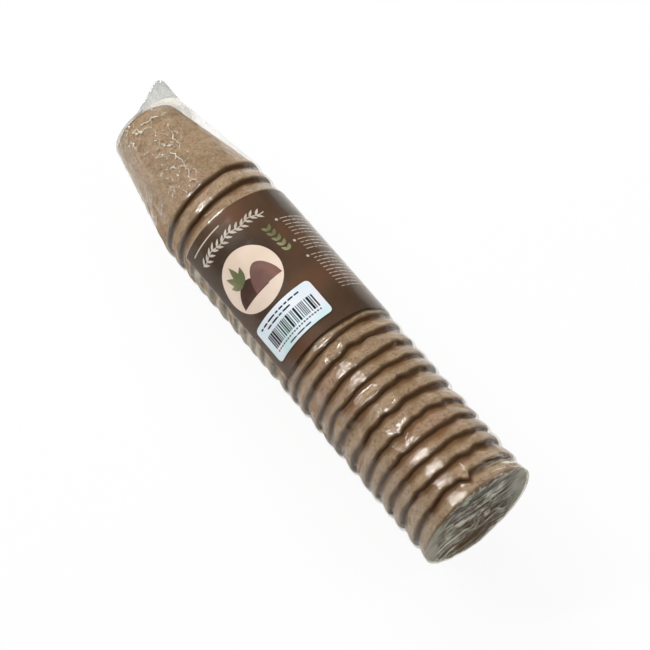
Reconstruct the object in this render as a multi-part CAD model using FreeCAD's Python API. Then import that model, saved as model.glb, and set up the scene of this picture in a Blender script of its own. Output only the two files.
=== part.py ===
"""A shrink-wrapped pack of nested round fibre pots, lying on its side, in millimetres.

The stack runs along +X, from the closed base of the outermost pot to the open mouth of the innermost.
+Z is up. The origin is the middle of the pack's box, at the height of the surface that it lies on.
"""
import FreeCAD, Part
import math
import os

os.makedirs("parts", exist_ok=True)

# Pots, moulded from peat and wood fibre
pot_count = 24
mouth_radius = 40.0
base_radius = 23.5
pot_height = 79.0
wall = 1.8
base_thickness = 2.2
base_bevel = 2.0

# Round forms are drawn with this many flat panels, each narrower than the unevenness of the fibre
panel_count = 52

# The nest: the closest that two pots can sit, and how much further out each one stands
nest_clearance = 0.12
pitch_shares = [1.31, 1.46, 1.14, 1.08, 1.44, 1.35, 1.13, 1.04, 1.00, 1.10, 1.50, 1.00,
                1.14, 1.45, 1.23, 1.05, 1.50, 1.50, 1.16, 1.29, 1.19, 1.41, 1.30]

# Printed card, laid round the stack under the film
card_thickness = 0.3
card_clearance = 0.1
card_setback = 24.0
card_length = 108.0
card_width = 148.0
card_edge_bearing = 74.0

# Film, shrunk tight over the rims and standing a little off the bare pot
film_thickness = 0.3
film_clearance = 0.1
film_slack = 0.5
film_lift = 3.0

# Gathered tail of the film past the closed base, welded along one slanting line
tail_bearing = -71.0
tail_near_reach = 5.0
tail_far_reach = 24.5
tail_near_side = 22.0
tail_far_side = 28.0
weld_thickness = 1.0
weld_depth = 3.0

# Lengthwise seam of the film, folded flat under the pack
seam_width = 14.0
seam_thickness = 0.3
seam_clearance = 0.1

# Sticker on the outside of the film, over the rim of one pot
sticker_pot = 11
sticker_setback = 2.5
sticker_thickness = 0.2
sticker_clearance = 0.1
sticker_length = 27.0
sticker_width = 49.0
sticker_corner = 3.0
sticker_bearing = 31.5

# Sizes that follow from those above
taper = (mouth_radius - base_radius) / pot_height
wall_across = wall * math.sqrt(1 + taper**2)
closest_pitch = (wall_across + nest_clearance) / taper
card_radius = mouth_radius + card_clearance
film_inner_radius = card_radius + card_thickness + film_clearance
film_outer_radius = film_inner_radius + film_thickness
film_base_radius = base_radius + film_slack + film_lift + film_thickness
sticker_radius = film_outer_radius + sticker_clearance
axis_height = film_outer_radius + seam_clearance + seam_thickness

# Stations along the stack, counted from the outermost pot's base
first_rim = pot_height
rims = [first_rim]
for share in pitch_shares[: pot_count - 1]:
    rims.append(rims[-1] + closest_pitch * share)
cover_start = rims[-1] + film_clearance
cover_end = cover_start + film_thickness
middle = (cover_end - tail_far_reach) / 2

along = FreeCAD.Vector(1, 0, 0)
origin = FreeCAD.Vector(0, 0, 0)


def lean(bearing):
    """The unit vector square to the axis at a bearing, in degrees from straight up towards -Y."""
    angle = math.radians(bearing)
    return FreeCAD.Vector(0, -math.sin(angle), math.cos(angle))


def panel_point(station, radius, bearing):
    """The point at a bearing on the many-sided section that fits inside a circle of the radius."""
    panel = 360 / panel_count
    off_middle = (bearing % panel) - panel / 2
    reach = radius * math.cos(math.radians(panel / 2)) / math.cos(math.radians(off_middle))
    return along * station + lean(bearing) * reach


def ring(station, radius, shift=origin):
    """The corners of a whole many-sided section."""
    return [panel_point(station, radius, 360 * turn / panel_count) + shift for turn in range(panel_count)]


def flat(corners):
    """A flat face through the corners."""
    return Part.Face(Part.makePolygon([*corners, corners[0]]))


def closed(faces):
    """The solid that the faces close."""
    return Part.makeSolid(Part.makeShell(faces))


def skin(rings):
    """A solid with one flat panel from each side of a ring to the next ring, closed at both ends."""
    faces = [flat(rings[0]), flat(rings[-1])]
    for low, high in zip(rings, rings[1:]):
        for turn in range(panel_count):
            faces.append(flat([low[turn - 1], low[turn], high[turn], high[turn - 1]]))
    return closed(faces)


def make_pot(rim):
    """A tapered cup with a bevelled base corner and its mouth at the rim's station."""
    base = rim - pot_height
    floor = base + base_thickness
    floor_radius = base_radius + taper * base_thickness - wall_across
    outside = skin([
        ring(base, base_radius - base_bevel),
        ring(base + base_bevel, base_radius + taper * base_bevel),
        ring(rim, mouth_radius),
    ])
    inside = skin([ring(floor, floor_radius), ring(rim, mouth_radius - wall_across)])
    return outside.cut(inside)


def bent_sheet(start, length, radius, thickness, width, bearing):
    """A sheet bent round the stack, with its middle at a bearing."""
    half_wrap = math.degrees(width / radius) / 2
    first, last = bearing - half_wrap, bearing + half_wrap
    panel = 360 / panel_count
    folds = [panel * turn for turn in range(math.ceil(first / panel), math.ceil(last / panel))]
    bearings = [first, *folds, last]
    outer = [panel_point(start, radius + thickness, each) for each in bearings]
    inner = [panel_point(start, radius, each) for each in reversed(bearings)]
    return flat(outer + inner).extrude(along * length)


def make_card():
    """The printed card, bent over the stack from its one edge that shows."""
    bearing = card_edge_bearing - math.degrees(card_width / card_radius) / 2
    return bent_sheet(first_rim + card_setback, card_length, card_radius, card_thickness, card_width, bearing)


def make_sticker():
    """The sticker, bent over the film, with rounded corners."""
    start = rims[sticker_pot - 1] - sticker_setback - sticker_length / 2
    sheet = bent_sheet(start, sticker_length, sticker_radius, sticker_thickness, sticker_width, 0)
    box = sheet.BoundBox
    block = Part.makeBox(sticker_length, box.YLength, box.ZMax, along * start + FreeCAD.Vector(0, box.YMin, 0))
    uprights = [edge for edge in block.Edges if edge.BoundBox.ZLength > box.ZMax / 2]
    sheet = sheet.common(block.makeFillet(sticker_corner, uprights))
    sheet.rotate(origin, along, sticker_bearing)
    return sheet


def film_tube(inset):
    """The film's tube, filled: off-centre at the base, round at the first rim and at the mouth."""
    return skin([
        ring(0, film_base_radius - inset, lean(tail_bearing) * film_lift),
        ring(first_rim, film_outer_radius - inset),
        ring(cover_start, film_outer_radius - inset),
    ])


def make_sleeve():
    """The film round the rims and down to the bare pot's base, open at both ends."""
    return film_tube(0).cut(film_tube(film_thickness))


def make_mouth_cover():
    """The film drawn flat across the innermost pot's mouth."""
    return flat(ring(cover_start, film_outer_radius)).extrude(along * film_thickness)


def drawn_to_line(start_ring, near_end, far_end):
    """A solid from a ring to a thin flat end: each side of the ring runs to the nearest corner."""
    sideways = lean(tail_bearing)
    upward = along.cross(sideways)
    centre = sideways * film_lift
    rise = upward * (weld_thickness / 2)

    def corner(place):
        end = far_end if (place - centre).dot(sideways) > 0 else near_end
        return end + rise if (place - centre).dot(upward) > 0 else end - rise

    faces = [flat(start_ring), flat([near_end - rise, near_end + rise, far_end + rise, far_end - rise])]
    for turn in range(panel_count):
        before, after = start_ring[turn - 1], start_ring[turn]
        faces.append(flat([before, after, corner(after)]))
        if corner(before) != corner(after):
            faces.append(flat([before, corner(after), corner(before)]))
    return closed(faces)


def make_tail():
    """The film past the base, drawn from the sleeve's end to the flat weld."""
    sideways = lean(tail_bearing)
    shift = sideways * film_lift
    near_end = along * -tail_near_reach - sideways * tail_near_side
    far_end = along * -tail_far_reach + sideways * tail_far_side
    reach = (far_end - near_end).normalize()
    outside = drawn_to_line(ring(0, film_base_radius, shift), near_end, far_end)
    inside = drawn_to_line(ring(0, film_base_radius - film_thickness, shift),
                           near_end + (along + reach) * weld_depth, far_end + (along - reach) * weld_depth)
    return outside.cut(inside)


def seam_section(station, radius, shift=origin):
    """The seam's outline: flat below, and rounded above to fit the film over it."""
    half = seam_width / 2
    seat = radius + seam_clearance
    drop = math.sqrt(seat**2 - half**2)
    bottom = seat + seam_thickness
    centre = along * station + shift
    left_top, right_top = (centre + FreeCAD.Vector(0, side, -drop) for side in (-half, half))
    left_bottom, right_bottom = (centre + FreeCAD.Vector(0, side, -bottom) for side in (-half, half))
    return Part.Wire([
        Part.Arc(left_top, centre + FreeCAD.Vector(0, 0, -seat), right_top).toShape(),
        Part.LineSegment(right_top, right_bottom).toShape(),
        Part.LineSegment(right_bottom, left_bottom).toShape(),
        Part.LineSegment(left_bottom, left_top).toShape(),
    ])


def make_seam():
    """The folded seam along the underside, from the base's edge to the mouth."""
    return Part.makeLoft([
        seam_section(0, film_base_radius, lean(tail_bearing) * film_lift),
        seam_section(first_rim, film_outer_radius),
        seam_section(cover_start, film_outer_radius),
    ], True, True)


def export(name, shape):
    """Lay the piece in the pack's own frame and write it."""
    place = FreeCAD.Vector(-middle, 0, axis_height)
    shape.translated(place).exportStep(f"parts/{name}.step")


for number, rim in enumerate(rims, start=1):
    export(f"pot_{number:02d}", make_pot(rim))
export("label_card", make_card())
export("film_sleeve", make_sleeve())
export("film_mouth_cover", make_mouth_cover())
export("film_tail", make_tail())
export("film_seam", make_seam())
export("barcode_sticker", make_sticker())
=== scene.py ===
"""The looks of a film-wrapped pack of nested pots: moulded fibre, clear crinkled film, card and sticker.

The stack lies along +X, from the closed base of the outermost pot to the open mouth of the innermost.
A bearing is measured round its axis, from straight up towards -Y, in radians.
"""
import math

import bpy
import numpy as np
from mathutils import Matrix, Vector


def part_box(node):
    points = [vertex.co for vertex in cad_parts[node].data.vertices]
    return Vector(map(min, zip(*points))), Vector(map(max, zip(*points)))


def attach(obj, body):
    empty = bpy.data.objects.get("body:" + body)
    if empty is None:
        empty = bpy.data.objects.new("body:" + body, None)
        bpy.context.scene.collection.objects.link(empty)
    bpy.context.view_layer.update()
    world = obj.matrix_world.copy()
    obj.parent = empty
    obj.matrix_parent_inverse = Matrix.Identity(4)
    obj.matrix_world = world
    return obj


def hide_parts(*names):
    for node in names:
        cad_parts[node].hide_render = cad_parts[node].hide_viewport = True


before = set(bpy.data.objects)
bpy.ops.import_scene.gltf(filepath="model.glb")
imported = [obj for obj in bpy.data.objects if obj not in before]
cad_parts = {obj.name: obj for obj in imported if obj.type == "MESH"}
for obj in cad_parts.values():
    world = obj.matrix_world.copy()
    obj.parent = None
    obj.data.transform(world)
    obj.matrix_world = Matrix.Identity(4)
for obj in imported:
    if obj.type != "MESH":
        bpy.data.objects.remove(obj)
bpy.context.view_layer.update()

MM = 0.001
TURN = 2 * math.pi

# Places that come from the frame
POTS = [f"pot_{number:02d}" for number in range(1, 25)]
POT_BOXES = [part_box(name) for name in POTS]
BASES = np.array([low.x for low, high in POT_BOXES])
RIMS = np.array([high.x for low, high in POT_BOXES])
AXIS_Z = (POT_BOXES[0][0].z + POT_BOXES[0][1].z) / 2
MOUTH_RADIUS = POT_BOXES[0][1].y
CARD_START, CARD_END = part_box("label_card")[0].x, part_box("label_card")[1].x
STICKER_START, STICKER_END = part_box("barcode_sticker")[0].x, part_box("barcode_sticker")[1].x
SEAM_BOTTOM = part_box("film_seam")[0].z

# Pots
POT_HEIGHT = 79.0 * MM
BASE_RADIUS = 23.5 * MM
WALL = 1.84 * MM
FLOOR_THICKNESS = 2.2 * MM
BASE_BEVEL = 2.0 * MM
COLLAR_RADIUS = 40.1 * MM
TAPER = (MOUTH_RADIUS - BASE_RADIUS) / POT_HEIGHT
POT_SIDES = 240
LUMPS = 0.10 * MM
GROOVE_DEPTH = 0.95 * MM
GROOVE_WIDTH = 4.8 * MM
LIP_ROUNDING = 0.7 * MM
LIP_LENGTH = 2.5 * MM
# The share of a nested pot's height, below its rim, that can show and is lumpy
SHOWN_SHARE = 0.24
# The rim from its outer to its inner edge: shares of the height, and of the wall's thickness
RIM_ROUNDING = [(0.993, 0.48), (0.998, 0.58), (1.0, 0.72), (0.998, 0.86), (0.992, 0.96), (0.98, 1.0)]
# How much painted shade narrow places get, from 0 to 1, and how far the painted shade reaches from a lip and
# a base corner
EDGE_PAINTED_SHADE = 0.9
LIP_PAINTED_SHADE_LENGTH = 1.4 * MM
BASE_PAINTED_SHADE_LENGTH = 1.2 * MM

# How far each rim stands further out than its even place: over the top, and on the side towards -Y
TOP_BEARING = math.radians(10.5)
RIM_TOP_SWAY = np.array([-0.2, 1.1, 0.5, 0.5, 0.5, 0.5, 0.5, 0.5, 0.5, 0.5, 1.0, 3.0,
                         1.8, 2.3, 1.7, 1.1, 2.2, 1.5, 1.2, 2.9, 2.0, 1.9, 0.6, 0.2]) * MM
RIM_SIDE_SWAY = np.array([3.5, 3.0, 3.0, 2.8, 2.8, 2.6, 2.6, 2.4, 2.2, 2.0, 2.0, 2.0,
                          2.0, 1.8, 1.8, 1.8, 1.2, 1.5, 1.5, 0.6, 0.8, 0.6, 1.0, 1.0]) * MM
RIM_ROUGHNESS = [1.2] * 3 + [1.0] * 8 + [1.6, 1.6, 1.8, 2.2, 2.4, 2.6, 2.8, 2.8, 2.8, 3.0, 3.2, 2.6, 0.9]
RIM_CHIPS = [0] * 13 + [1, 2, 2, 3, 3, 3, 4, 4, 5, 5, 0]
# A tab of fibre that stands out past a rim: its bearing, wide side, steep side and length
RIM_TABS = {18: (0.40, 0.20, 0.08, 1.6 * MM), 22: (0.06, 0.16, 0.06, 3.4 * MM)}

# Card and sticker
CARD_RADIUS = 40.1 * MM
CARD_THICKNESS = 0.3 * MM
CARD_WIDTH = 148.0 * MM
CARD_EDGE = math.radians(74.0)
STICKER_RADIUS = 40.84 * MM
STICKER_THICKNESS = 0.16 * MM
STICKER_WIDTH = 49.0 * MM
STICKER_CORNER = 3.0 * MM
STICKER_BEARING = math.radians(31.5)
CARD_UNEVENNESS = 0.05 * MM
INK_LIFT = 0.04 * MM

# Film
FILM_ON_RIM = 40.34 * MM
FILM_ON_CARD = 40.66 * MM
FILM_FALL = 2.2 * MM
FILM_FALL_LENGTH = 4.5 * MM
FILM_RISE = 1.35 * MM
FILM_RISE_LENGTH = 7.0 * MM
FILM_DIP_ROUNDING = 0.22 * MM
FILM_UNEVENNESS = 0.03 * MM
LOOSE_FILM_WAVE = 0.12 * MM
LOOSE_FILM_CREASE = 0.45 * MM
FILM_SIDES = 320
FILM_STEP = 1.0 * MM
FILM_BASE_RADIUS = 24.3 * MM
FILM_BASE_BULGE = 5.6 * MM
FILM_BASE_SHIFT = 3.0 * MM
FILM_SHINE = 0.06
FILM_SHINE_LOST_ON_CARD = 0.035
MOUTH_ROLL = 0.9 * MM
MOUTH_SAG = 1.4 * MM
MOUTH_FOLDS = 26
MOUTH_FOLD_TILT = 0.1
SEAM_WIDTH = 14.0 * MM
SEAM_CRIMP_START = 4.0 * MM
SEAM_THICKNESS = 0.25 * MM
SEAM_DROP = 0.75 * MM

# Where the loose film on the bare pot is creased the most, with glints painted along the creases: stations,
# and bearings in degrees
CREASED_SPOTS = [(-150 * MM, 5), (-133 * MM, 12), (-114 * MM, 19), (-96 * MM, 26), (-152 * MM, 46),
                 (-100 * MM, 75)]
# Long creases in the loose film: the station, and the bearing in degrees, of each one's two ends
LONG_CREASES = [((-142 * MM, -8), (-116 * MM, 4)), ((-121 * MM, 16), (-109 * MM, 10)),
                ((-111 * MM, 10), (-91 * MM, 17))]

# The tail's weld, along the stack and sideways from the middle of the loose end: straight over most of its
# width, from the first place to the second, and then curled past the third to the fourth
TAIL_BEARING = math.radians(-71.0)
WELD_STRAIGHT = 0.9
WELD_PLACES = np.array([(-5.0, -24.5), (-24.2, 21.5), (-24.5, 26.5), (-19.5, 27.0)]) * MM


def along_axis(station, radius, bearing):
    """The points at stations, radii and bearings, as an array whose last side is x, y, z."""
    station, radius, bearing = np.broadcast_arrays(station, radius, bearing)
    return np.stack([station, -radius * np.sin(bearing), AXIS_Z + radius * np.cos(bearing)], axis=-1)


def lean(bearing):
    """The unit vector square to the axis at a bearing."""
    return np.array([0.0, -math.sin(bearing), math.cos(bearing)])


def round_bearings(sides):
    """Evenly spaced bearings of a whole turn."""
    return np.arange(sides) * TURN / sides


def smooth(share):
    """A soft step from 0 to 1."""
    share = np.clip(share, 0.0, 1.0)
    return share * share * (3 - 2 * share)


def waves(bearing, station, seed, count, shortest, longest):
    """An uneven pattern of about -1 to 1 round and along the stack, made of waves of mixed lengths."""
    draw = np.random.RandomState(seed)
    total = 0.0
    for _ in range(count):
        length = draw.uniform(shortest, longest)
        heading = draw.uniform(0, TURN)
        turns = round(TURN * MOUTH_RADIUS / length * math.cos(heading))
        slope = TURN / length * math.sin(heading)
        total = total + np.sin(turns * bearing + slope * station + draw.uniform(0, TURN))
    return total / math.sqrt(count)


def creases(bearing, station, seed, count, shortest, longest):
    """Sharp folds of 0 to about 1 that come and go, round and along the stack."""
    folded = 1 - np.abs(waves(bearing, station, seed, count, shortest, longest))
    where = smooth(0.4 + waves(bearing, station, seed + 1, count, 2 * shortest, 2 * longest))
    return np.clip(folded, 0, 1) ** 8 * where


# Meshes

def grid_faces(rows, columns, closed):
    """The quads of a grid of points, joined round where it is closed."""
    row, column = np.meshgrid(np.arange(rows - 1), np.arange(columns - (not closed)), indexing="ij")
    after = (column + 1) % columns
    low, high = row * columns, (row + 1) * columns
    return np.stack([low + column, low + after, high + after, high + column], axis=-1).reshape(-1, 4)


class Shape:
    """Points and faces gathered for one mesh."""

    def __init__(self):
        self.points = []
        self.faces = []
        self.size = 0

    def grid(self, points, closed=False, flip=False):
        """Add a grid of points, and give the number of its first point."""
        first = self.size
        rows, columns = points.shape[:2]
        faces = grid_faces(rows, columns, closed) + first
        self.faces += (faces[:, ::-1] if flip else faces).tolist()
        self.points.append(points.reshape(-1, 3))
        self.size += rows * columns
        return first

    def face(self, numbers):
        """Add one face on points that are there already."""
        self.faces.append(list(numbers))

    def slab(self, top, bottom):
        """Add a thin closed sheet, from its upper and lower grids of points."""
        rows, columns = top.shape[:2]
        first_top = self.grid(top)
        first_bottom = self.grid(bottom, flip=True)
        edge = list(range(columns))
        edge += [row * columns + columns - 1 for row in range(1, rows)]
        edge += [(rows - 1) * columns + column for column in range(columns - 2, -1, -1)]
        edge += [row * columns for row in range(rows - 2, 0, -1)]
        for here, after in zip(edge, edge[1:] + edge[:1]):
            self.face([first_top + after, first_top + here, first_bottom + here, first_bottom + after])

    def build(self, name, material, slot, nodes=(), sharp=None, recess_shade=None):
        """Make the object on the body, with its material and how much painted shade each point gets for
        lying in a recess.
        """
        mesh = bpy.data.meshes.new(name)
        mesh.from_pydata(np.concatenate(self.points).tolist(), [], self.faces)
        mesh.materials.append(material)
        mesh.validate()
        if recess_shade is not None:
            mesh.attributes.new("recess_shade", "FLOAT", "POINT").data.foreach_set("value", recess_shade)
        mesh.shade_smooth()
        if sharp is not None:
            mesh.set_sharp_from_angle(angle=sharp)
        piece = bpy.data.objects.new(name, mesh)
        bpy.context.scene.collection.objects.link(piece)
        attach(piece, "root")
        if nodes:
            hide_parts(*nodes)


# Materials

class Nodes:
    """The nodes of a material or of the world, and short ways to fill them in."""

    def __init__(self, owner, output):
        owner.use_nodes = True
        self.tree = owner.node_tree
        self.tree.nodes.clear()
        self.output = self.node(output)

    def node(self, kind, settings=None, **inputs):
        """Add a node, set its own settings and fill its inputs with values or other nodes' outputs."""
        made = self.tree.nodes.new("ShaderNode" + kind)
        for key, value in (settings or {}).items():
            setattr(made, key, value)
        for key, value in inputs.items():
            socket = made.inputs[int(key[1:])] if key[0] == "i" and key[1:].isdigit() else made.inputs[key]
            if isinstance(value, bpy.types.NodeSocket):
                self.tree.links.new(value, socket)
            else:
                socket.default_value = value
        return made

    def ramp(self, value, *stops):
        """Colours or levels at places from 0 to 1 along a value."""
        made = self.node("ValToRGB", Fac=value)
        bar = made.color_ramp
        while len(bar.elements) < len(stops):
            bar.elements.new(0.5)
        for element, (spot, level) in zip(bar.elements, stops):
            element.position = spot
            element.color = level if hasattr(level, "__len__") else (level, level, level, 1)
        return made.outputs["Color"]

    def mix(self, share, first, second):
        """Two shaders mixed by a share."""
        return self.node("MixShader", Fac=share, i1=first, i2=second).outputs["Shader"]

    def finish(self, shader):
        """Take the shader as what shows."""
        self.tree.links.new(shader, self.output.inputs["Surface"])


class Look(Nodes):
    """A material, with the patterns and skins that the looks are made of."""

    def __init__(self, name):
        self.material = bpy.data.materials.new(name)
        super().__init__(self.material, "OutputMaterial")
        self.place = self.node("TexCoord").outputs["Object"]
        self.x, self.y, self.z = self.node("SeparateXYZ", Vector=self.place).outputs

    def stretched(self, scale, turn=(0, 0, 0)):
        """The place on the object, turned and scaled by a different amount along each axis."""
        return self.node("Mapping", Vector=self.place, Rotation=turn, Scale=scale).outputs["Vector"]

    def bent(self, scale, share):
        """The place on the object, shifted unevenly, so that lines laid by it are bent."""
        shift = self.node("TexNoise", Vector=self.place, Scale=scale, Detail=2.0).outputs["Color"]
        return self.blend(share, self.place, shift, "LINEAR_LIGHT")

    def noise(self, scale, detail=4.0, roughness=0.55, distortion=0.0, vector=None):
        """A noise pattern; scale counts its blotches in a metre."""
        made = self.node("TexNoise", Vector=vector or self.place, Scale=scale, Detail=detail,
                         Roughness=roughness, Distortion=distortion)
        return made.outputs["Fac"]

    def blend(self, share, first, second, kind="MIX"):
        """Two colours mixed by a share."""
        made = self.node("Mix", {"data_type": "RGBA", "blend_type": kind}, i0=share, i6=first, i7=second)
        return made.outputs[2]

    def maths(self, kind, first, second, limit=False):
        """One step of arithmetic, held within 0 and 1 where it is limited."""
        made = self.node("Math", {"operation": kind, "use_clamp": limit}, i0=first, i1=second)
        return made.outputs["Value"]

    def times(self, first, second):
        """Two values multiplied."""
        return self.maths("MULTIPLY", first, second)

    def more(self, first, second):
        """Two values added and held within 0 and 1."""
        return self.maths("ADD", first, second, limit=True)

    def rise(self, value, start, length):
        """0 up to a start and 1 past a length from there, or the other way round for a length below 0."""
        return self.maths("MULTIPLY", self.maths("SUBTRACT", value, start), 1 / length, limit=True)

    def vector(self, kind, first, second, output="Value"):
        """One step of arithmetic on vectors."""
        return self.node("VectorMath", {"operation": kind}, i0=first, i1=second).outputs[output]

    def bump(self, height, strength, distance, under=None):
        """Relief from a height pattern, over other relief if there is some."""
        made = self.node("Bump", Height=height, Strength=strength, Distance=distance)
        if under is not None:
            self.tree.links.new(under, made.inputs["Normal"])
        return made.outputs["Normal"]

    def skin(self, shader):
        """Take the shader as the surface, and give the material."""
        self.finish(shader)
        return self.material

    def matt(self, ground, roughness, specular, relief):
        """Take one opaque skin as the surface."""
        inputs = {"Base Color": ground, "Roughness": roughness, "Specular IOR Level": specular}
        return self.skin(self.node("BsdfPrincipled", Normal=relief, **inputs).outputs["BSDF"])

    def edge_shine(self, relief, least):
        """How much a clear sheet reflects: a little face on, and all of the light edge on."""
        edge_on = self.node("LayerWeight", Blend=0.5, Normal=relief).outputs["Facing"]
        return self.more(self.maths("POWER", edge_on, 5.0), least)

    def sheet(self, relief, tint, gloss, roughness, shine, milk, haze_and_painted_light):
        """Take a clear sheet as the surface, glossy by its shine and milky by its haze; the haze also
        carries the painted sheen, glints and reflections that some looks put into it.
        """
        clear = self.node("BsdfTransparent", Color=tint).outputs["BSDF"]
        bright = self.node("BsdfGlossy", Color=gloss, Roughness=roughness, Normal=relief).outputs["BSDF"]
        white = self.node("BsdfDiffuse", Color=milk, Normal=relief).outputs["BSDF"]
        return self.skin(self.mix(haze_and_painted_light, self.mix(shine, clear, bright), white))


def colour(red, green, blue):
    """A colour from its usual 0 to 255 levels."""
    levels = []
    for level in (red, green, blue):
        share = level / 255
        levels.append(share / 12.92 if share <= 0.04045 else ((share + 0.055) / 1.055) ** 2.4)
    return (*levels, 1.0)


def fibre_strands(look, ground, relief):
    """Short pale and dark fibres that lie three ways, with their relief."""
    for turn, seed_shift in ((0.3, 0.0), (1.5, 3.0), (2.5, 7.0)):
        lie = look.stretched((260, 2600, 2600), (seed_shift, turn, turn * 2))
        strands = look.noise(1.0, detail=2, roughness=0.5, distortion=0.4, vector=lie)
        pale = look.ramp(strands, (0.60, 0.0), (0.70, 0.5))
        dark = look.ramp(strands, (0.30, 0.6), (0.40, 0.0))
        ground = look.blend(pale, ground, colour(190, 165, 138))
        ground = look.blend(dark, ground, colour(112, 86, 62))
        relief = look.bump(strands, 0.35, 0.12 * MM, relief)
    return ground, relief


def fibre_look():
    """Moulded peat and wood fibre: blotched brown, short pale and dark fibres, specks and a rough skin, with
    painted shade in its recesses.
    """
    look = Look("fibre")
    blotches = look.noise(55, detail=6, roughness=0.6)
    ground = look.ramp(blotches, (0.30, colour(139, 115, 88)), (0.50, colour(162, 138, 110)),
                       (0.70, colour(174, 149, 122)))
    rosy = look.ramp(look.noise(24, detail=2), (0.50, 0.0), (0.68, 0.5))
    ground = look.blend(rosy, ground, colour(172, 136, 120))
    mottled = look.ramp(look.noise(190, detail=3), (0.40, 0.22), (0.52, 0.0))
    ground = look.blend(mottled, ground, colour(118, 94, 66))
    ground, relief = fibre_strands(look, ground, None)
    pits = look.noise(430, detail=3, roughness=0.6, distortion=0.5)
    ground = look.blend(look.ramp(pits, (0.30, 0.75), (0.44, 0.0)), ground, colour(108, 84, 58))
    ground = look.blend(look.ramp(pits, (0.58, 0.0), (0.72, 0.5)), ground, colour(196, 174, 146))
    # Painted shade: the recess shade attribute darkens the fibre to a deep brown where shade falls, in the
    # grooves, at rims and lips, near the first base corner and inside the pots.
    recess_shade = look.node("Attribute", {"attribute_name": "recess_shade"}).outputs["Fac"]
    ground = look.blend(look.times(recess_shade, 0.85), ground, colour(120, 82, 44))
    specks = look.node("TexVoronoi", Vector=look.place, Scale=230.0, Randomness=1.0).outputs["Distance"]
    speck_share = look.ramp(specks, (0.05, 0.85), (0.14, 0.0))
    chosen = look.ramp(look.noise(120, detail=1), (0.56, 0.0), (0.60, 1.0))
    ground = look.blend(look.times(speck_share, chosen), ground, colour(62, 44, 30))
    relief = look.bump(look.noise(700, detail=8, roughness=0.65), 0.6, 0.25 * MM, relief)
    relief = look.bump(look.noise(150, detail=4), 1.0, 0.8 * MM, relief)
    relief = look.bump(look.noise(420, detail=3, roughness=0.6), 1.0, 0.5 * MM, relief)
    return look.matt(ground, 0.92, 0.25, relief)


def loose_film_place(station, bearing, lift=0.0):
    """About where the film lies on the bare pot, at a station and a bearing in degrees."""
    return along_axis(station, BASE_RADIUS + TAPER * (station - BASES[0]) + lift, math.radians(bearing))


def short_creases(look):
    """Short bent creases in the film on the bare pot, most of them at the creased spots."""
    bent = look.bent(90.0, 0.012)
    cells = look.node("TexVoronoi", {"feature": "DISTANCE_TO_EDGE"}, Vector=bent, Scale=95.0)
    near = look.ramp(cells.outputs["Distance"], (0.0, 1.0), (0.06, 0.0))
    broken = look.ramp(look.noise(300, detail=2), (0.45, 0.0), (0.53, 1.0))
    where = look.ramp(look.noise(48, detail=2), (0.57, 0.0), (0.67, 0.45))
    patchy = look.ramp(look.noise(170, detail=2), (0.45, 0.0), (0.53, 1.0))
    for station, bearing in CREASED_SPOTS:
        apart = look.vector("DISTANCE", look.place, tuple(loose_film_place(station, bearing)))
        where = look.more(where, look.times(look.ramp(apart, (0.005, 1.0), (0.015, 0.0)), patchy))
    on_pot = look.maths("LESS_THAN", look.x, RIMS[0] - 2 * MM)
    return look.times(look.times(near, broken), look.times(where, on_pot))


def long_crease(look, first, last):
    """How near a point is to one long thin crease between two places on the loose film."""
    start, end = loose_film_place(*first, 1 * MM), loose_film_place(*last, 1 * MM)
    middle = (start + end) / 2
    outward = middle - np.array([middle[0], 0.0, AXIS_Z])
    side = np.cross(end - start, outward)
    side = side / np.linalg.norm(side)
    from_middle = look.vector("SUBTRACT", look.bent(150.0, 0.004), tuple(middle), "Vector")
    off = look.vector("DOT_PRODUCT", from_middle, tuple(side))
    apart = look.times(look.times(off, off), 1 / (0.35 * MM) ** 2)
    near = look.maths("SUBTRACT", 1.0, apart, limit=True)
    reach = look.vector("DISTANCE", look.place, tuple(middle))
    half = float(np.linalg.norm(end - start)) / 2
    return look.times(near, look.rise(reach, half, -0.3 * half))


def haze_at_base(look):
    """Film whitened round the first base, on the side away from the card's edge."""
    toward_base = look.rise(look.x, BASES[0] + 14 * MM, -12 * MM)
    far_side = look.rise(look.y, -1.8 * MM, 18 * MM)
    patchy = look.ramp(look.noise(110, detail=3), (0.35, 0.25), (0.6, 0.7))
    return look.times(look.times(toward_base, far_side), patchy)


def painted_sheen_beside_card(look):
    """Painted sheen: film greyed in a band along the near side, past the card's edge and a little along the
    rest of that side, broken up by a pattern of small pleats.
    """
    start = look.rise(look.x, CARD_START, 8 * MM)
    end = look.rise(look.x, CARD_END, -8 * MM)
    share = look.maths("ADD", look.times(look.times(start, end), 0.8), 0.2)
    below = look.rise(look.z, AXIS_Z + 14 * MM, -9 * MM)
    above = look.rise(look.z, AXIS_Z - 26 * MM, 14 * MM)
    band = look.times(look.times(below, above), share)
    near_side = look.maths("LESS_THAN", look.y, -15 * MM)
    pleats = look.noise(1.0, detail=3, distortion=0.4, vector=look.stretched((190, 60, 60)))
    return look.times(look.times(band, near_side), look.ramp(pleats, (0.30, 0.22), (0.70, 0.38)))


def haze_at_mouth(look):
    """Streaks of film drawn white towards the mouth, on the side away from the card's edge."""
    toward_mouth = look.rise(look.x, RIMS[-1] - 17 * MM, 10 * MM)
    far_side = look.rise(look.y, -1 * MM, 22 * MM)
    drawn = look.noise(1.0, detail=3, distortion=0.6, vector=look.stretched((420, 75, 75)))
    drawn = look.times(look.ramp(drawn, (0.50, 0.0), (0.60, 0.7)), toward_mouth)
    return look.times(drawn, far_side)


def over_card(look):
    """1 on the length of film that covers the card, and 0 off it."""
    past = look.maths("GREATER_THAN", look.x, CARD_START)
    return look.times(past, look.maths("LESS_THAN", look.x, CARD_END))


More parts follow.
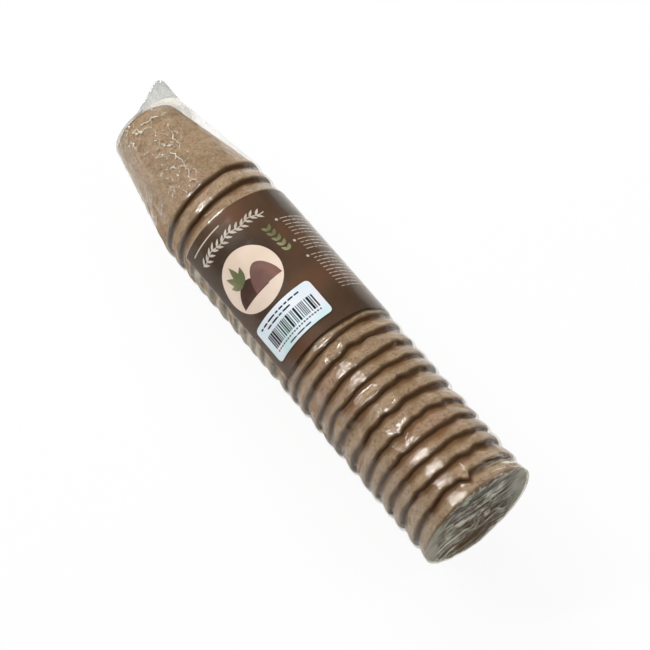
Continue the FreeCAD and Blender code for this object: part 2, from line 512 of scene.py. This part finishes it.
def crinkle_share(look, covered):
    """How crinkled the tight film is: hardly over the card, and less on the bare pot than on the rims."""
    bare = look.times(look.maths("LESS_THAN", look.x, RIMS[0] - 1 * MM), 0.8)
    return look.maths("SUBTRACT", look.maths("SUBTRACT", 1.0, look.times(covered, 0.93)), bare)


def film_look(name, haze_range, fold_scale, fold_depth, milk, tight=False):
    """Clear shrink film: glossy and crinkled, with fine drawn strands and a thin uneven haze.

    Tight film is also calmer in places, hazier in others, painted with a sheen along the near side, and
    creased on the bare pot, where its creases are painted white as glints.
    """
    look = Look(name)
    strength = 1.0
    if tight:
        covered = over_card(look)
        strength = crinkle_share(look, covered)
    folds = look.noise(fold_scale, detail=4, roughness=0.5, distortion=1.0)
    relief = look.bump(folds, strength, fold_depth)
    lie = look.stretched((520, 70, 90), (0.0, 0.1, 0.25))
    strands = look.noise(1.0, detail=2, roughness=0.5, distortion=0.2, vector=lie)
    relief = look.bump(strands, strength, 0.5 * MM, relief)
    lie = look.stretched((1000, 130, 170), (0.1, 0.15, 0.2))
    relief = look.bump(look.noise(1.0, detail=2, vector=lie), strength, 0.12 * MM, relief)
    patches = look.noise(fold_scale * 0.7, detail=3, distortion=0.8)
    haze_and_painted_light = look.ramp(patches, (0.35, haze_range[0]), (0.70, haze_range[1]))
    if tight:
        # Whitened film at the base and at the mouth, and a painted sheen beside the card, are added to the
        # haze.
        for veil in (haze_at_base(look), painted_sheen_beside_card(look), haze_at_mouth(look)):
            haze_and_painted_light = look.more(haze_and_painted_light, veil)
        crease_and_glint = short_creases(look)
        for first, last in LONG_CREASES:
            crease_and_glint = look.maths("MAXIMUM", crease_and_glint, long_crease(look, first, last))
        relief = look.bump(crease_and_glint, 1.0, 0.5 * MM, relief)
        # Besides their relief, the creases are painted white as glints: a painted highlight.
        haze_and_painted_light = look.more(haze_and_painted_light, crease_and_glint)
    shine = look.edge_shine(relief, FILM_SHINE)
    if tight:
        shine = look.maths("SUBTRACT", shine, look.times(covered, FILM_SHINE_LOST_ON_CARD), limit=True)
    return look.sheet(relief, (0.985, 0.985, 0.98, 1), (1, 0.985, 0.945, 1), 0.14, shine, milk, haze_and_painted_light)


def mouth_film_look():
    """The film across the mouth: dull at both sides, with level streaks between, some painted bright as
    reflections and some clear.
    """
    look = Look("film_across_mouth")
    lie = look.stretched((60, 30, 330), (0.1, 0.0, 0.0))
    streaks = look.noise(1.0, detail=4, roughness=0.55, distortion=0.3, vector=lie)
    relief = look.bump(streaks, 1.0, 1.6 * MM)
    relief = look.bump(look.noise(170, detail=4, distortion=1.0), 0.6, 0.6 * MM, relief)
    # Painted reflection: bright streaks of milky white along the same pattern as the fold relief, standing
    # in for reflected light.
    bright = look.ramp(streaks, (0.36, 0.3), (0.42, 0.0), (0.49, 0.0), (0.53, 0.9), (0.57, 0.0), (0.64, 1.0))
    bright = look.times(bright, look.ramp(look.noise(52, detail=2), (0.42, 0.35), (0.6, 1.0)))
    crumples = look.noise(70, detail=5, roughness=0.65, distortion=1.5)
    haze_and_painted_light = look.more(bright, look.ramp(crumples, (0.50, 0.0), (0.64, 0.6)))
    share = look.rise(look.y, -MOUTH_RADIUS, 2 * MOUTH_RADIUS)
    uneven = look.times(look.maths("SUBTRACT", look.noise(45, detail=2), 0.5), 0.25)
    side = look.ramp(look.maths("ADD", share, uneven), (0.09, 1.0), (0.16, 0.0), (0.78, 0.0), (0.88, 1.0))
    haze_and_painted_light = look.blend(side, haze_and_painted_light, (0.46, 0.46, 0.46, 1))
    shine = look.times(look.edge_shine(relief, 0.02), 0.6)
    milk = look.ramp(look.noise(60, detail=2), (0.4, colour(212, 214, 190)), (0.6, colour(244, 238, 224)))
    return look.sheet(relief, (0.96, 0.94, 0.85, 1), (1, 1, 1, 1), 0.15, shine, milk, haze_and_painted_light)


def card_look():
    """Coated card printed dark brown, redder in the middle."""
    look = Look("printed_card")
    patch = look.noise(14, detail=2, roughness=0.4, distortion=0.5)
    ground = look.ramp(patch, (0.38, colour(68, 50, 37)), (0.52, colour(90, 65, 47)),
                       (0.66, colour(116, 76, 54)))
    grain = look.ramp(look.noise(900, detail=2), (0.4, 0.0), (0.7, 0.18))
    ground = look.blend(grain, ground, colour(100, 80, 62))
    return look.matt(ground, 0.55, 0.15, look.bump(look.noise(380, detail=3), 0.12, 0.1 * MM))


def ink_look(name, first, second):
    """One printed colour, with the faint unevenness of print on card."""
    look = Look(name)
    ground = look.ramp(look.noise(60, detail=3, roughness=0.5), (0.35, first), (0.65, second))
    return look.matt(ground, 0.55, 0.15, look.bump(look.noise(900, detail=2), 0.1, 0.05 * MM))


def sticker_look():
    """Bluish white coated paper with a faint pearly tint."""
    look = Look("sticker_paper")
    tint = look.noise(38, detail=1, roughness=0.3, distortion=0.8)
    ground = look.ramp(tint, (0.36, colour(212, 236, 234)), (0.46, colour(224, 238, 246)),
                       (0.56, colour(234, 238, 244)), (0.66, colour(240, 234, 240)))
    return look.matt(ground, 0.3, 0.5, look.bump(look.noise(1200, detail=3), 0.1, 0.05 * MM))


# Pots

def off_bearing(bearing, middle):
    """How far bearings lie from a middle one, the short way round."""
    return np.mod(bearing - middle + math.pi, TURN) - math.pi


def ragged_edge(number, bearing):
    """The fine unevenness of one rim, round the pot, with chips out of the later ones."""
    draw = np.random.RandomState(100 + number)
    rough = RIM_ROUGHNESS[number] * MM
    edge = 0.0
    for turns in range(2, 30):
        size = rough / (turns + 4)
        edge = edge + size * draw.uniform(0.2, 1.0) * np.sin(turns * bearing + draw.uniform(0, TURN))
    for _ in range(RIM_CHIPS[number]):
        middle, width, depth = draw.uniform(0, TURN), draw.uniform(0.06, 0.16), draw.uniform(0.5, 1.6) * MM
        edge = edge - depth * np.exp(-(off_bearing(bearing, middle) / width) ** 2)
    if number in RIM_TABS:
        middle, wide, steep, length = RIM_TABS[number]
        off = off_bearing(bearing, middle)
        edge = edge + length * smooth(1 - np.where(off > 0, off / wide, -off / steep))
    return edge


def rim_station(number, bearing):
    """Where the rim of a pot, counted from 0, lies along the axis at a bearing."""
    turned = bearing - TOP_BEARING
    sway = RIM_TOP_SWAY[number] * np.cos(turned) + RIM_SIDE_SWAY[number] * np.sin(turned)
    return RIMS[number] + sway + ragged_edge(number, bearing)


def wall_shares(number):
    """Shares of the height at which a pot's wall has its rings, closer together where it shows."""
    bevel_share = BASE_BEVEL / POT_HEIGHT
    if number == 0:
        return np.linspace(bevel_share, 0.988, 64)
    hidden = np.linspace(bevel_share, 1 - SHOWN_SHARE, 5)
    return np.concatenate([hidden[:-1], np.linspace(1 - SHOWN_SHARE, 0.988, 28)])


class PotRings:
    """The rings of one pot's mesh: over its base, up its wall, over its rim and down inside it."""

    def __init__(self, number):
        self.number = number
        self.bearing = round_bearings(POT_SIDES)
        self.base = BASES[number]
        self.height = rim_station(number, self.bearing) - self.base
        self.rings = []
        self.recess_shade = []

    def ring(self, station, radius, recess_shade):
        """One ring, and how much painted shade it gets for lying in a recess."""
        self.rings.append(along_axis(station, radius, self.bearing))
        self.recess_shade.append(np.broadcast_to(recess_shade, POT_SIDES))

    def discs(self, station, *radii):
        """The rings of a flat face."""
        for radius in radii:
            self.ring(station, radius, 0.0)

    def wall(self, share, inset, recess_shade):
        """A plain ring of the wall, at a share of its height and a depth under its outer face."""
        up = share * self.height
        self.ring(self.base + up, np.minimum(BASE_RADIUS + TAPER * up, COLLAR_RADIUS) - inset, recess_shade)

    def outer_wall(self, share):
        """An outer ring: lumpy where it shows, rounded at the lip and grooved past the next rim out, with
        painted shade in the groove, at the lip and near the first base corner.
        """
        up = share * self.height
        lumpy_from = self.base + (POT_HEIGHT * (1 - SHOWN_SHARE) if self.number else 0)
        lumps = LUMPS * smooth((self.base + share * POT_HEIGHT - lumpy_from) / (4 * MM))
        inset = -lumps * waves(self.bearing, self.base + up, 300 + self.number, 14, 5 * MM, 24 * MM)
        inset = inset + LIP_ROUNDING * smooth(1 - (self.height - up) / LIP_LENGTH) ** 2
        if self.number:
            sway = waves(self.bearing, 0.0, 500 + self.number, 10, 14 * MM, 60 * MM)
            past = self.base + up - rim_station(self.number - 1, self.bearing)
            past = past / (GROOVE_WIDTH * (1 + 0.35 * sway))
            # How far into the groove past the next rim out: it sets both the groove's depth and its painted
            # shade
            recess_shade = smooth(1.35 - past) * smooth(1 + past)
            inset = inset + GROOVE_DEPTH * recess_shade
        else:
            # Painted shade near the first pot's base corner
            recess_shade = EDGE_PAINTED_SHADE * smooth(1 - (up - BASE_BEVEL) / BASE_PAINTED_SHADE_LENGTH)
        # Painted shade at the lip
        painted_lip_shade = EDGE_PAINTED_SHADE * smooth(1 - (self.height - up) / LIP_PAINTED_SHADE_LENGTH)
        self.wall(share, inset, np.maximum(recess_shade, painted_lip_shade))


def make_pot(number, material):
    """One nested pot, with its own uneven rim and hand-moulded wall."""
    rows = PotRings(number)
    rows.discs(rows.base, 2 * MM, 12 * MM, BASE_RADIUS - BASE_BEVEL)
    for share in wall_shares(number):
        rows.outer_wall(share)
    # The rim's rounded edge gets painted shade
    for share, inset in RIM_ROUNDING:
        rows.wall(share, inset * WALL, EDGE_PAINTED_SHADE)
    innermost = number == len(POTS) - 1
    # Inside, the wall gets full painted shade
    for share in np.linspace(0.95, FLOOR_THICKNESS / POT_HEIGHT, 24 if innermost else 5):
        rows.wall(share, WALL, 1.0)
    rows.discs(rows.base + FLOOR_THICKNESS, 12 * MM, 2 * MM)
    shape = Shape()
    first = shape.grid(np.stack(rows.rings), closed=True)
    shape.face(range(first + POT_SIDES - 1, first - 1, -1))
    last = first + (len(rows.rings) - 1) * POT_SIDES
    shape.face(range(last, last + POT_SIDES))
    shape.build(POTS[number] + "_fibre", material, "fibre", [POTS[number]],
                sharp=math.radians(60), recess_shade=np.concatenate(rows.recess_shade))


# Card and print

def card_point(arc, station, lift=0.0):
    """A place on the card, from its shown edge round the stack, and its station."""
    bearing = CARD_EDGE - arc / CARD_RADIUS
    uneven = CARD_UNEVENNESS * waves(bearing, station, 41, 8, 14 * MM, 40 * MM)
    return along_axis(station, CARD_RADIUS + CARD_THICKNESS + lift + uneven, bearing)


def make_card(material):
    """The printed card, bent round the stack."""
    arcs = np.linspace(0, CARD_WIDTH, 120)
    arc, station = np.meshgrid(arcs, np.linspace(CARD_START, CARD_END, 60), indexing="ij")
    shape = Shape()
    shape.slab(card_point(arc, station), card_point(arc, station, -CARD_THICKNESS))
    shape.build("label_card_print", material, "card", ["label_card"], sharp=math.radians(50))


class Print:
    """Flat printed figures in one ink, laid out in millimetres across the sheet and down from its top."""

    def __init__(self, name, material, point=card_point, top=CARD_START, slot="card"):
        self.shape = Shape()
        self.name, self.material = name, material
        self.point, self.top, self.slot = point, top, slot

    def patch(self, across, down, closed=False, layer=1):
        """A grid of points laid on the sheet."""
        self.shape.grid(self.point(across * MM, self.top + down * MM, layer * INK_LIFT), closed)

    def bar(self, left, right, top, bottom):
        """A plain bar, its sides along and across the sheet."""
        columns = max(2, math.ceil((right - left) / 1.2) + 1)
        rows = max(2, math.ceil((bottom - top) / 4) + 1)
        across = np.linspace(left, right, columns)
        self.patch(*np.meshgrid(across, np.linspace(top, bottom, rows), indexing="ij"))

    def disc(self, across, down, radius):
        """A filled circle."""
        rings, sides = max(3, math.ceil(radius / 1.4)), 72
        reaches = np.linspace(0.02, 1, rings) * radius
        reach, angle = np.meshgrid(reaches, round_bearings(sides), indexing="ij")
        self.patch(across + reach * np.cos(angle), down + reach * np.sin(angle), closed=True)

    def leaf(self, across, down, length, width, heading, layer=1):
        """A pointed leaf from its stalk end, along a heading from straight right."""
        share, side = np.meshgrid(np.linspace(0, 1, 14), np.linspace(-1, 1, 5), indexing="ij")
        out = share * length
        off = side * width / 2 * np.sin(math.pi * share ** 0.8)
        turn_x, turn_y = math.cos(heading), math.sin(heading)
        self.patch(across + out * turn_x - off * turn_y, down + out * turn_y + off * turn_x, layer=layer)

    def mound(self, left, right, bottom, height, layer=1):
        """A rounded heap standing on a level line."""
        across, share = np.linspace(left, right, 26)[:, None], np.linspace(0, 1, 26)[:, None]
        top = height * np.sin(math.pi * share) ** 0.6
        down = bottom - top * np.linspace(1, 0, 6)
        self.patch(np.broadcast_to(across, down.shape), down, layer=layer)

    def vine(self, left, right, middle, swing, wavelength):
        """A thin waving stem with a pair of leaves at each turn."""
        across = np.linspace(left, right, 90)[:, None]
        down = middle + swing * np.sin(TURN * (across - left) / wavelength) - np.array([0.35, -0.35])
        self.patch(np.broadcast_to(across, down.shape), down)
        for place in np.arange(left + 1, right - 4, wavelength / 4):
            root = middle + swing * math.sin(TURN * (place - left) / wavelength)
            for heading in (-0.75, 0.75):
                self.leaf(place, root, 5.6, 1.7, heading, layer=2)

    def words(self, left, right, middle, thick, draw):
        """A plain rule broken at uneven places."""
        while left < right:
            length = draw.uniform(2, 8)
            self.bar(left, min(left + length, right), middle - thick / 2, middle + thick / 2)
            left += length + 1.1

    def build(self):
        """Make the print's object."""
        self.shape.build(self.name, self.material, self.slot)


def print_disc():
    """A pale disc with two heaps and a tuft of leaves on it, and a sprig beside it."""
    cream = Print("card_print_disc", ink_look("ink_cream", colour(238, 216, 196), colour(246, 226, 210)))
    cream.disc(27.5, 48, 21.8)
    soil = Print("card_print_soil", ink_look("ink_soil", colour(62, 42, 34), colour(92, 62, 54)))
    soil.mound(10.5, 35, 59, 13, layer=2)
    clay = Print("card_print_clay", ink_look("ink_clay", colour(112, 78, 70), colour(138, 98, 88)))
    clay.mound(24.5, 45.5, 58.5, 17, layer=3)
    leaves = Print("card_print_leaves", ink_look("ink_leaf", colour(110, 114, 78), colour(158, 160, 122)))
    for heading, length in ((-2.6, 10), (-2.1, 14), (-1.6, 16), (-1.1, 12)):
        leaves.leaf(21.5, 47.5, length, 4.8, heading, layer=4)
    for step in range(5):
        across, down = 56 + step * 0.5, 30 + step * 4.6
        leaves.leaf(across, down, 5.5, 2.4, -0.9)
        leaves.leaf(across, down, 5.0, 2.4, -2.3, layer=2)
    for ink in (cream, soil, clay, leaves):
        ink.build()


def print_rules():
    """A plain rule over a leafy stem, and three groups of broken rules, each with a dot."""
    pale = Print("card_print_rules", ink_look("ink_pale", colour(196, 184, 168), colour(222, 210, 196)))
    pale.bar(6, 34, 6.0, 6.9)
    pale.vine(7, 62, 15.5, 0.9, 16)
    draw = np.random.RandomState(7)
    for start, count in ((25, 6), (44, 4), (58, 11)):
        pale.disc(65.5, start, 1.0)
        for line in range(count):
            down = start + line * 2.9
            left = 68 + line * 0.2
            pale.words(left, left + draw.uniform(52, 66), down, 0.5, draw)
    pale.build()


# Sticker

def sticker_point(arc, station, lift=0.0):
    """A place on the sticker, from its middle round the stack, and its station."""
    radius = STICKER_RADIUS + STICKER_THICKNESS + lift
    return along_axis(station, radius, STICKER_BEARING - arc / STICKER_RADIUS)


def make_sticker(material):
    """The sticker, bent over the film, with rounded corners."""
    half = STICKER_WIDTH / 2
    corner_turns = np.linspace(0, math.pi / 2, 8)
    ends = half - STICKER_CORNER * (1 - np.sin(corner_turns))
    insets = STICKER_CORNER * (1 - np.cos(corner_turns))
    middle = np.linspace(-ends[0], ends[0], 30)[1:-1]
    arcs = np.concatenate([-ends[::-1], middle, ends])[:, None]
    inset = np.concatenate([insets[::-1], np.zeros(len(middle)), insets])[:, None]
    share = np.linspace(0, 1, 12)
    station = STICKER_START + inset + (STICKER_END - STICKER_START - 2 * inset) * share
    arc = np.broadcast_to(arcs, station.shape)
    shape = Shape()
    shape.slab(sticker_point(arc, station), sticker_point(arc, station, -STICKER_THICKNESS))
    shape.build("barcode_sticker_print", material, "sticker", ["barcode_sticker"], sharp=math.radians(50))


def print_sticker():
    """A plain run of bars, with a row of dots under it and broken rules over and under both."""
    black = ink_look("ink_black", colour(20, 20, 24), colour(32, 33, 38))
    ink = Print("sticker_print_bars", black, sticker_point, STICKER_START, "sticker")
    draw = np.random.RandomState(21)
    ink.words(-20, 15, 3.6, 1.1, draw)
    ink.words(-15, 6, 6.6, 1.1, draw)
    place = -19.5
    while place < 19.5:
        thick = draw.choice([0.6, 0.6, 1.0, 1.5])
        ink.bar(place, place + thick, 9.6, 19.6)
        place += thick + draw.choice([0.5, 0.5, 0.9, 1.2])
    for step in range(-9, 10):
        ink.disc(step * 2.1, 21.5, 0.62)
    ink.words(-9, 9, 24.6, 0.9, draw)
    ink.build()


# Film

def card_cover(bearing, station):
    """1 where the card is under the film and 0 off it, with a soft edge."""
    soft = 3.5 * MM
    turned = np.mod(CARD_EDGE - bearing, TURN) * CARD_RADIUS
    inside = np.minimum(turned, CARD_WIDTH - turned)
    before = turned - TURN * CARD_RADIUS
    inside = np.where(np.abs(before) < np.abs(inside), before, inside)
    ends = np.minimum(station - CARD_START, CARD_END - station)
    return smooth(1 + inside / soft) * smooth(1 + ends / soft)


def film_over_rims(bearing, station):
    """The film's radius from the first rim to the mouth: up on the rims, down a little between them."""
    rims = np.stack([rim_station(number, bearing[0]) for number in range(len(POTS))])
    phase = np.stack([np.interp(station[:, column], rims[:, column], np.arange(len(POTS)))
                      for column in range(bearing.shape[1])], axis=1)
    gap = np.minimum(phase.astype(int), len(POTS) - 2)
    share = phase - gap
    columns = np.broadcast_to(np.arange(bearing.shape[1]), gap.shape)
    pitch = rims[gap + 1, columns] - rims[gap, columns]
    fall = FILM_FALL * smooth(share * pitch / FILM_FALL_LENGTH)
    rise = FILM_RISE * ((1 - share) * pitch / FILM_RISE_LENGTH) ** 2
    soft = FILM_DIP_ROUNDING
    dip = soft * math.log(2) - soft * np.log(np.exp(-fall / soft) + np.exp(-rise / soft))
    dip = dip * (1 + 0.12 * waves(bearing, station, 57, 8, 12 * MM, 45 * MM))
    covered = card_cover(bearing, station)
    radius = (1 - covered) * (FILM_ON_RIM - dip) + covered * (FILM_ON_CARD - 0.04 * dip)
    ripple = FILM_UNEVENNESS * waves(bearing, station, 61, 16, 4 * MM, 11 * MM)
    return radius + ripple * (1 - 0.9 * covered)


def film_point(bearing, station):
    """The film tube: loose and off-centre round the bare pot, tight from the first rim on."""
    first_rim = rim_station(0, bearing)
    share = np.clip((station - BASES[0]) / (first_rim - BASES[0]), 0, 1)
    base_radius = FILM_BASE_RADIUS + FILM_BASE_BULGE * np.maximum(np.cos(bearing - TAIL_BEARING), 0) ** 2
    loose = base_radius + (FILM_ON_RIM - base_radius) * share
    slack = np.sin(math.pi * share) ** 0.7
    slack = slack * (LOOSE_FILM_WAVE * waves(bearing, station, 71, 14, 9 * MM, 30 * MM)
                     + LOOSE_FILM_CREASE * creases(bearing, station, 77, 10, 9 * MM, 30 * MM))
    radius = np.where(station < first_rim, loose + slack, film_over_rims(bearing, station))
    return along_axis(station, radius, bearing)


def make_sleeve(material):
    """The film tube round the stack. It gives its points, for the film at both ends to start from."""
    length = RIMS[-1] - BASES[0]
    shares = np.linspace(0, 1, round(length / FILM_STEP) + 1)
    bearing, share = np.meshgrid(round_bearings(FILM_SIDES), shares, indexing="xy")
    station = BASES[0] + share * (rim_station(len(POTS) - 1, bearing) - BASES[0])
    points = film_point(bearing, station)
    shape = Shape()
    shape.grid(points, closed=True)
    shape.build("film_sleeve_skin", material, "film", ["film_sleeve"])
    return points


def mouth_folds(y, z):
    """Level folds in the film across the mouth."""
    across = z * math.cos(MOUTH_FOLD_TILT) - y * math.sin(MOUTH_FOLD_TILT)
    draw = np.random.RandomState(5)
    folds = 0.0
    for _ in range(MOUTH_FOLDS):
        spot, width = draw.uniform(-34, 34) * MM, draw.uniform(0.5, 1.8) * MM
        reach, centre = draw.uniform(6, 30) * MM, draw.uniform(-14, 14) * MM
        height = draw.uniform(-0.7, 0.7) * MM
        along = np.exp(-((y - centre) / reach) ** 4)
        folds = folds + height * np.exp(-((across - spot) / width) ** 2) * along
    return folds


def make_mouth_cover(material, edge):
    """The film across the mouth: rolled over the rim, smooth at both sides, with level folds between."""
    bearing = round_bearings(FILM_SIDES)
    rim_x = edge[:, 0]
    turn = np.array([0.35, 0.7, 1.0])[:, None] * math.pi / 2
    rolled = along_axis(rim_x + MOUTH_ROLL / 2 * np.sin(turn),
                        FILM_ON_RIM - MOUTH_ROLL * (1 - np.cos(turn)), bearing)
    share = np.linspace(0.975, 0.02, 60)[:, None]
    radius = (FILM_ON_RIM - MOUTH_ROLL) * share
    y, z = -radius * np.sin(bearing), radius * np.cos(bearing)
    border = smooth((1 - share) / 0.35)
    middle = smooth((0.78 - np.abs(y + 0.08 * MOUTH_RADIUS) / MOUTH_RADIUS) / 0.3) * border
    level = rim_x * share ** 2 + rim_x.mean() * (1 - share ** 2) + MOUTH_ROLL / 2
    flat = along_axis(level - MOUTH_SAG * border + mouth_folds(y, z) * middle, radius, bearing)
    rows = np.concatenate([edge[None], rolled, flat])
    shape = Shape()
    first = shape.grid(rows, closed=True)
    last = first + (len(rows) - 1) * FILM_SIDES
    shape.face(range(last, last + FILM_SIDES))
    shape.build("film_mouth_skin", material, "film", ["film_mouth_cover"])


def weld_line(turned):
    """The tail's flat weld, along the stack and sideways, for bearings counted from the tail's own."""
    near, far, corner, tip = WELD_PLACES
    spot = ((1 + np.cos(turned)) / 2)[:, None]
    run = np.clip(spot / WELD_STRAIGHT, 0, 1)
    curl = np.clip((spot - WELD_STRAIGHT) / (1 - WELD_STRAIGHT), 0, 1)
    curled = (1 - curl) ** 2 * far + 2 * curl * (1 - curl) * corner + curl ** 2 * tip
    return np.where(curl > 0, curled, near + (far - near) * run)


def make_tail(material, edge):
    """The film past the base, gathered into a flat pointed ear along a slanting weld."""
    sideways = lean(TAIL_BEARING)
    upward = np.cross([1, 0, 0], sideways)
    centre = along_axis(BASES[0], 0, 0) + sideways * FILM_BASE_SHIFT
    turned = round_bearings(FILM_SIDES) - TAIL_BEARING
    weld = centre + weld_line(turned) @ np.stack([[1, 0, 0], sideways])
    lift = ((edge - centre) @ upward)[:, None] * upward
    rows = [edge]
    for share in np.linspace(0, 1, 40)[1:]:
        run = share ** 1.15
        thin = run - smooth(share) ** 0.8
        gather = 0.5 * np.sin(17 * turned + 9 * share) + 0.35 * np.sin(31 * turned - 5 * share)
        gather = gather * math.sin(math.pi * share) * MM
        rows.append(edge * (1 - run) + weld * run + lift * thin + gather[:, None] * upward)
    shape = Shape()
    shape.grid(np.stack(rows), closed=True, flip=True)
    shape.build("film_tail_skin", material, "film", ["film_tail"])


def make_seam(material):
    """The film's lengthwise seam, folded flat under the pack, with a crimped weld."""
    station = np.linspace(BASES[0], RIMS[-1], 240)[:, None]
    side = np.linspace(-SEAM_WIDTH / 2, SEAM_WIDTH / 2, 9)
    share = np.clip((station - BASES[0]) / (RIMS[0] - BASES[0]), 0, 1)
    radius = FILM_BASE_RADIUS + (FILM_ON_RIM - FILM_BASE_RADIUS) * share
    low = np.maximum(AXIS_Z - radius - SEAM_DROP, SEAM_BOTTOM)
    y = side + 0.3 * MM * np.sin(station / (11 * MM))
    crimp = 0.05 * MM * (1 + np.sin(station / (0.35 * MM))) * (np.abs(side) > SEAM_CRIMP_START)
    bottom = np.stack([np.broadcast_to(station, y.shape), y, low + crimp], axis=-1)
    shape = Shape()
    shape.slab(bottom, bottom + np.array([0, 0, SEAM_THICKNESS]))
    shape.build("film_seam_fold", material, "film", ["film_seam"])


# Studio

def make_floor():
    """A plain pale floor."""
    look = Look("floor")
    share = look.times(look.node("LightPath").outputs["Is Camera Ray"], 0.93)
    matt = look.node("BsdfDiffuse", Color=(0.9, 0.9, 0.9, 1)).outputs["BSDF"]
    white = look.node("Emission", Color=(1, 1, 1, 1), Strength=1.0).outputs["Emission"]
    bpy.ops.mesh.primitive_plane_add(size=6.0, location=(0, 0, 0))
    floor = bpy.context.object
    floor.name = "floor"
    floor.data.materials.append(look.skin(look.mix(share, matt, white)))


def make_lamp(name, direction, distance, size, power, glossy=True):
    """A soft lamp that faces the middle of the pack, its first side laid across the stack."""
    data = bpy.data.lights.new(name, "AREA")
    data.shape = "RECTANGLE"
    data.size, data.size_y = size
    data.energy = power
    lamp = bpy.data.objects.new(name, data)
    lamp.visible_glossy = glossy
    away = Vector(direction).normalized()
    lamp.location = Vector((0, 0, AXIS_Z)) + away * distance
    across = Vector((1, 0, 0)).cross(away).normalized()
    lamp.rotation_mode = "QUATERNION"
    lamp.rotation_quaternion = Matrix((across, away.cross(across), away)).transposed().to_quaternion()
    bpy.context.scene.collection.objects.link(lamp)


def make_world():
    """Plain studio surroundings, darker higher up in reflections, and white where the camera sees them."""
    world = bpy.data.worlds.new("studio")
    bpy.context.scene.world = world
    sky = Nodes(world, "OutputWorld")
    height = sky.node("SeparateXYZ", Vector=sky.node("TexCoord").outputs["Generated"]).outputs["Z"]
    dim = sky.ramp(height, (0.0, 0.27), (0.75, 0.20))
    dark = sky.ramp(height, (0.0, (0.28, 0.272, 0.255, 1)), (0.24, (0.050, 0.046, 0.040, 1)))
    lit, reflected, seen = [sky.node("Background", Color=shade).outputs["Background"]
                            for shade in (dim, dark, (1, 1, 1, 1))]
    ray = sky.node("LightPath").outputs
    unseen = sky.mix(ray["Is Glossy Ray"], lit, reflected)
    sky.finish(sky.mix(ray["Is Camera Ray"], unseen, seen))


def make_camera():
    """The photograph's viewing angle."""
    azimuth, elevation = math.radians(53.38), math.radians(59.58)
    aim = Vector((31.6, 2.2, 51.4)) * MM
    distance = 1349.9 * MM
    level = math.cos(elevation)
    back = Vector((math.sin(azimuth) * level, -math.cos(azimuth) * level, math.sin(elevation)))
    right = Vector((math.cos(azimuth), math.sin(azimuth), 0))
    turned = Matrix((right, back.cross(right), back)).transposed().to_4x4()
    data = bpy.data.cameras.new("camera")
    data.lens, data.sensor_width = 120.72, 36.0
    data.clip_start, data.clip_end = 0.05, 50
    camera = bpy.data.objects.new("camera", data)
    camera.matrix_world = Matrix.Translation(aim + back * distance) @ turned
    bpy.context.scene.collection.objects.link(camera)
    bpy.context.scene.camera = camera


make_camera()
fibre = fibre_look()
for place in range(len(POTS)):
    make_pot(place, fibre)
make_card(card_look())
print_disc()
print_rules()
make_sticker(sticker_look())
print_sticker()
tight_film = film_look("film_tight", (0.0, 0.012), 150, 0.12 * MM, colour(238, 231, 212), tight=True)
gathered_film = film_look("film_gathered", (0.26, 0.5), 70, 0.5 * MM, colour(160, 161, 156))
folded_film = film_look("film_folded", (0.2, 0.4), 200, 0.3 * MM, colour(232, 232, 226))
tube = make_sleeve(tight_film)
make_mouth_cover(mouth_film_look(), tube[-1])
make_tail(gathered_film, tube[0])
make_seam(folded_film)
make_floor()
make_world()
make_lamp("key", (-0.60, -0.36, 0.715), 2.6, (1.4, 0.2), 42)
make_lamp("raking", (-0.86, 0.26, 0.46), 2.4, (1.35, 1.35), 40, glossy=False)
make_lamp("end_fill", (0.45, 0.50, 0.74), 1.6, (0.7, 0.7), 5.0, glossy=False)
bpy.context.scene.view_settings.view_transform = "Standard"
